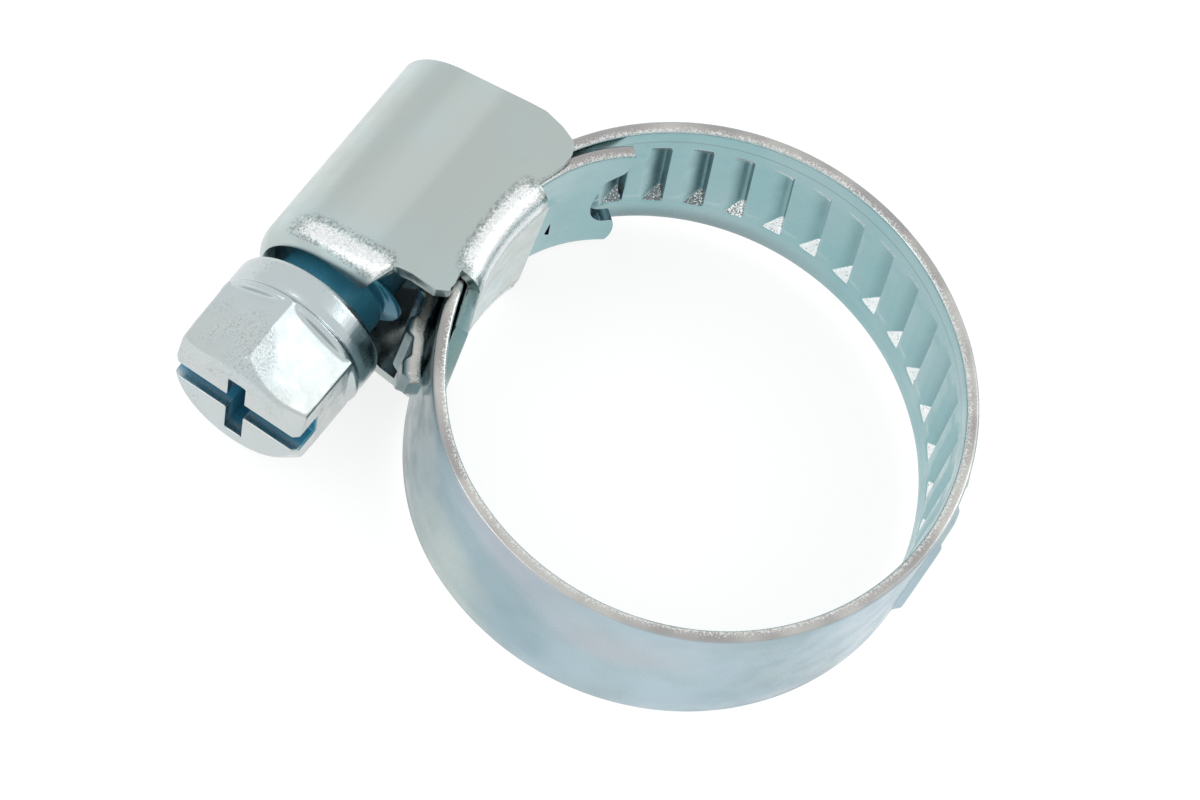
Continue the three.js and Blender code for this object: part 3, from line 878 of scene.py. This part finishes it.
def band_zinc():
    """Smooth blue-tinted plating outside, with painted shade just past the housing, teal inside, with painted
    shade in the recesses, along lines and at the near border and painted light at low angles; the sheared
    rims are half dull, half sparkling.
    """
    nodes = Nodes("zinc_band_finish")
    outside = plating_colour(nodes, ICE, MIST)
    shade = nodes.ramp(nodes.noise(95, 1.0, stretch=(1.0, 1.0, 0.35)), 0.40, 0.62)
    outside = nodes.mix(nodes.math("MULTIPLY", shade, 0.6), outside, SLATE)
    hue = nodes.noise(60, 1.0, stretch=(1.0, 1.0, 2.2))
    outside = nodes.mix(nodes.ramp(hue, 0.56, 0.68, 0.0, 0.35), outside, STRAW)
    outside = nodes.mix(nodes.ramp(hue, 0.44, 0.32, 0.0, 0.30), outside, ROSE)
    # Painted shade on the outside just past the housing
    outside = nodes.mix(nodes.attribute("housing_shade"), outside, HOUSING_SHADE_PAINT)
    inside = plating_colour(nodes, TEAL, PALE_TEAL)
    # Painted light: it weakens the recesses' painted shade and brightens the facets
    painted_light = nodes.attribute("painted_light")
    # Painted shade in the recesses, weaker where the painted light is strong
    depth = nodes.ramp(nodes.attribute("tooth"), 0.15, 0.95)
    sunk = nodes.math("MULTIPLY", depth, nodes.ramp(painted_light, 0.0, 1.0, 0.9, 0.35))
    inside = nodes.mix(sunk, inside, RECESS_SHADE_TEAL)
    # Painted shade lines and painted shade at the near border
    inside = nodes.mix(nodes.math("MULTIPLY", nodes.attribute("edge_and_line_shade"), 0.65), inside, SHADE_BROWN)
    inner = nodes.attribute("inner")
    colour = nodes.mix(inner, outside, inside)
    flecks = nodes.noise(11000, 3.0, roughness=0.8)
    # Facets: real burnished specks between dark and bright, with painted light making them brighter on the
    # lit side
    specks_and_painted_light = nodes.math("ADD", flecks, nodes.math("MULTIPLY", painted_light, 0.2))
    facet_specks_and_painted_light = nodes.mix(nodes.ramp(specks_and_painted_light, 0.53, 0.64), FACET_DARK, BRIGHT)
    colour = nodes.mix(nodes.ramp(nodes.attribute("facet"), 0.45, 0.6), colour, facet_specks_and_painted_light)
    sparkle = nodes.ramp(nodes.math("ADD", flecks, nodes.math("MULTIPLY", inner, 0.22)), 0.66, 0.78)
    dull = nodes.mix(nodes.ramp(nodes.noise(220, 2.0), 0.4, 0.6), RIM_BROWN, RIM_SILVER)
    colour = nodes.mix(nodes.attribute("rim"), colour, nodes.mix(sparkle, dull, RIM_SPARK))
    roughness = nodes.ramp(nodes.noise(700, 4.0), 0.3, 0.7, 0.20, 0.34)
    return nodes.finish(colour, roughness, fine_grain(nodes, 0.0000010, nodes.attribute("rim"), 0.00001))


def screw_zinc():
    """Pale satin plating, speckled in patches, blue in the slot, the cross and behind the collar."""
    nodes = Nodes("zinc_screw_finish")
    colour = plating_colour(nodes, STEEL_GREY, STEEL_BLUE)
    speckle = nodes.ramp(nodes.noise(8000, 3.0, roughness=0.8), 0.50, 0.62)
    patches = nodes.ramp(nodes.noise(260, 2.0), 0.48, 0.62)
    dull = nodes.math("MULTIPLY", nodes.math("MULTIPLY", speckle, patches), 0.6)
    colour = nodes.mix(dull, colour, FLECK_GREY)
    deep = nodes.attribute("deep")
    colour = nodes.mix(deep, colour, DEEP_BLUE)
    roughness = nodes.ramp(nodes.noise(1100, 4.0), 0.3, 0.7, 0.18, 0.30)
    material = nodes.finish(colour, roughness, fine_grain(nodes, 0.0000015, patches, 0.00002))
    nodes.link(nodes.ramp(deep, 0.0, 1.0, 1.0, 0.35), nodes.shader.inputs["Metallic"])
    return material


def dress(obj, material):
    obj.data.materials.clear()
    obj.data.materials.append(material)


def area_light(name, position, size, power):
    """A white rectangular light that faces the ring's centre."""
    light = bpy.data.lights.new(name, "AREA")
    light.shape = "RECTANGLE"
    light.size, light.size_y = size
    light.energy = power
    obj = bpy.data.objects.new(name, light)
    obj.location = position
    obj.rotation_euler = (-Vector(position)).to_track_quat("-Z", "Y").to_euler()
    bpy.context.scene.collection.objects.link(obj)


def studio():
    """Pale floor, white surroundings and soft lights."""
    low = CAD_BOX[0][2]
    reach = FLOOR_REACH
    corners = [(-reach, -reach, low), (reach, -reach, low), (reach, reach, low), (-reach, reach, low)]
    floor = mesh_object("studio_floor", corners, [(0, 1, 2, 3)])
    nodes = Nodes("studio_floor_paint")
    nodes.shader.inputs["Base Color"].default_value = (FLOOR_GREY, FLOOR_GREY, FLOOR_GREY, 1.0)
    nodes.shader.inputs["Emission Color"].default_value = WHITE
    nodes.shader.inputs["Emission Strength"].default_value = FLOOR_GLOW
    nodes.shader.inputs["Roughness"].default_value = 0.9
    dress(floor, nodes.material)
    world = bpy.data.worlds.new("studio")
    world.use_nodes = True
    background = world.node_tree.nodes["Background"]
    background.inputs["Color"].default_value = WHITE
    background.inputs["Strength"].default_value = WORLD_STRENGTH
    bpy.context.scene.world = world
    area_light("key", *KEY)
    area_light("fill", *FILL)


def camera():
    """The photograph's viewpoint: a long lens, looking down on the ring from beyond the screw's head."""
    position = Vector(CAMERA_PLACE) * MM
    forward = Vector(CAMERA_FORWARD).normalized()
    up = Vector(CAMERA_UP)
    right = forward.cross(up).normalized()
    up = right.cross(forward)
    data = bpy.data.cameras.new("photo_view")
    data.lens = FOCAL_LENGTH
    data.sensor_width = SENSOR_WIDTH
    data.clip_start = 0.01
    data.clip_end = 10.0
    obj = bpy.data.objects.new("photo_view", data)
    obj.matrix_world = Matrix.Translation(position) @ Matrix((right, up, -forward)).transposed().to_4x4()
    bpy.context.scene.collection.objects.link(obj)
    bpy.context.scene.camera = obj


bpy.context.scene.view_settings.view_transform = "Standard"

housing_piece = housing()
dress(housing_piece, housing_zinc())
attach(housing_piece, "housing_and_fixed_end")
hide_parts("screw_housing")

screw_piece = screw()
dress(screw_piece, screw_zinc())
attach(screw_piece, "screw")
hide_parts("hex_screw")

band_finish = band_zinc()
fixed_piece = fixed_end()
dress(fixed_piece, band_finish)
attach(fixed_piece, "housing_and_fixed_end")
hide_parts("band_fixed_end")

rack_teeth = [TOOTH_PHASE + TOOTH_PITCH * index for index in RACK_TEETH]
toothed_piece = band_piece("band_toothed_strip", toothed_radius, RACK_START, RACK_TIP, BAND_STEP,
                           centre=RACK_CENTRE, teeth=rack_teeth, limits=tail_limits)
dress(toothed_piece, band_finish)
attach(toothed_piece, "band_toothed")
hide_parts("band_toothed_end")

for stretch in ring_band():
    dress(stretch, band_finish)

studio()
camera()
